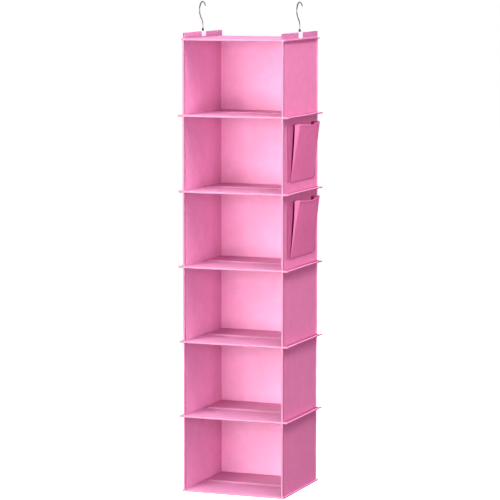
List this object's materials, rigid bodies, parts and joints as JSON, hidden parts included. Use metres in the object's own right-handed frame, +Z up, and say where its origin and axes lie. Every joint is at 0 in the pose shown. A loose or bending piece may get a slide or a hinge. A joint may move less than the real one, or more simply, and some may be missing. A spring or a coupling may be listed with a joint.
{
  "type": "hanging shoe organizer",
  "caption": "Hanging cloth shoe organizer with open stacked cells, stiffened shelves, side pockets and two swivelling rod hooks; its cells fold flat.",
  "frame": {"origin": "on the closet rod's axis, in the hook eyes' centre line, midway between the two hooks", "axes": "+X to the right, +Y to the back, +Z up; the open front faces -Y"},
  "size_m": [0.3342, 0.2907, 1.3989],
  "materials": {
    "non_woven_cloth": "matte",
    "panel_cloth": "matte",
    "binding_tape": "matte",
    "stiff_board": "matte",
    "hook_chrome": "polished",
    "saddle_steel": "satin"
  },
  "bodies": {
    "top": {"top_board": "stiff_board", "top_cloth": "non_woven_cloth", "top_edge_tape": "binding_tape", "left_panel_1": "panel_cloth", "right_panel_1": "panel_cloth", "back_panel_1": "panel_cloth", "corner_tapes_1": "binding_tape"},
    "left_header": {"left_header": "non_woven_cloth", "left_header_bar": "stiff_board", "left_hook_saddle": "saddle_steel"},
    "left_hook": {"left_hook": "hook_chrome", "left_hook_ferrule": "saddle_steel"},
    "right_header": {"right_header": "non_woven_cloth", "right_header_bar": "stiff_board", "right_hook_saddle": "saddle_steel"},
    "right_hook": {"right_hook": "hook_chrome", "right_hook_ferrule": "saddle_steel"},
    "shelf_1": {"shelf_board_1": "stiff_board", "shelf_cloth_1": "non_woven_cloth", "shelf_edge_tape_1": "binding_tape", "left_panel_2": "panel_cloth", "right_panel_2": "panel_cloth", "back_panel_2": "panel_cloth", "corner_tapes_2": "binding_tape", "pocket_front_2": "panel_cloth", "pocket_gussets_2": "panel_cloth"},
    "shelf_2": {"shelf_board_2": "stiff_board", "shelf_cloth_2": "non_woven_cloth", "shelf_edge_tape_2": "binding_tape", "left_panel_3": "panel_cloth", "right_panel_3": "panel_cloth", "back_panel_3": "panel_cloth", "corner_tapes_3": "binding_tape", "pocket_front_3": "panel_cloth", "pocket_gussets_3": "panel_cloth"},
    "shelf_3": {"shelf_board_3": "stiff_board", "shelf_cloth_3": "non_woven_cloth", "shelf_edge_tape_3": "binding_tape", "left_panel_4": "panel_cloth", "right_panel_4": "panel_cloth", "back_panel_4": "panel_cloth", "corner_tapes_4": "binding_tape"},
    "shelf_4": {"shelf_board_4": "stiff_board", "shelf_cloth_4": "non_woven_cloth", "shelf_edge_tape_4": "binding_tape", "left_panel_5": "panel_cloth", "right_panel_5": "panel_cloth", "back_panel_5": "panel_cloth", "corner_tapes_5": "binding_tape"},
    "shelf_5": {"shelf_board_5": "stiff_board", "shelf_cloth_5": "non_woven_cloth", "shelf_edge_tape_5": "binding_tape", "left_panel_6": "panel_cloth", "right_panel_6": "panel_cloth", "back_panel_6": "panel_cloth", "corner_tapes_6": "binding_tape"},
    "base": {"base_board": "stiff_board", "base_cloth": "non_woven_cloth", "base_edge_tape": "binding_tape"}
  },
  "joints": [
    {"name": "cell_1_fold", "type": "slide", "parent": "top", "child": "shelf_1", "axis": [0, 0, 1], "range_m": [0, 0.195], "deforming": ["left_panel_1", "right_panel_1", "back_panel_1", "corner_tapes_1"]},
    {"name": "cell_2_fold", "type": "slide", "parent": "shelf_1", "child": "shelf_2", "axis": [0, 0, 1], "range_m": [0, 0.195], "deforming": ["left_panel_2", "right_panel_2", "back_panel_2", "corner_tapes_2", "pocket_front_2", "pocket_gussets_2"]},
    {"name": "cell_3_fold", "type": "slide", "parent": "shelf_2", "child": "shelf_3", "axis": [0, 0, 1], "range_m": [0, 0.195], "deforming": ["left_panel_3", "right_panel_3", "back_panel_3", "corner_tapes_3", "pocket_front_3", "pocket_gussets_3"]},
    {"name": "cell_4_fold", "type": "slide", "parent": "shelf_3", "child": "shelf_4", "axis": [0, 0, 1], "range_m": [0, 0.195], "deforming": ["left_panel_4", "right_panel_4", "back_panel_4", "corner_tapes_4"]},
    {"name": "cell_5_fold", "type": "slide", "parent": "shelf_4", "child": "shelf_5", "axis": [0, 0, 1], "range_m": [0, 0.195], "deforming": ["left_panel_5", "right_panel_5", "back_panel_5", "corner_tapes_5"]},
    {"name": "cell_6_fold", "type": "slide", "parent": "shelf_5", "child": "base", "axis": [0, 0, 1], "range_m": [0, 0.195], "deforming": ["left_panel_6", "right_panel_6", "back_panel_6", "corner_tapes_6"]},
    {"name": "left_header_fold", "type": "hinge", "parent": "top", "child": "left_header", "pos_m": [-0.1435, 0, -0.0755], "axis": [0, 1, 0], "range_deg": [0, 90]},
    {"name": "left_hook_swivel", "type": "hinge", "parent": "left_header", "child": "left_hook", "pos_m": [-0.1475, 0, -0.055], "axis": [0, 0, 1], "continuous": true},
    {"name": "right_header_fold", "type": "hinge", "parent": "top", "child": "right_header", "pos_m": [0.1435, 0, -0.0755], "axis": [0, -1, 0], "range_deg": [0, 90]},
    {"name": "right_hook_swivel", "type": "hinge", "parent": "right_header", "child": "right_hook", "pos_m": [0.1475, 0, -0.055], "axis": [0, 0, 1], "continuous": true}
  ]
}
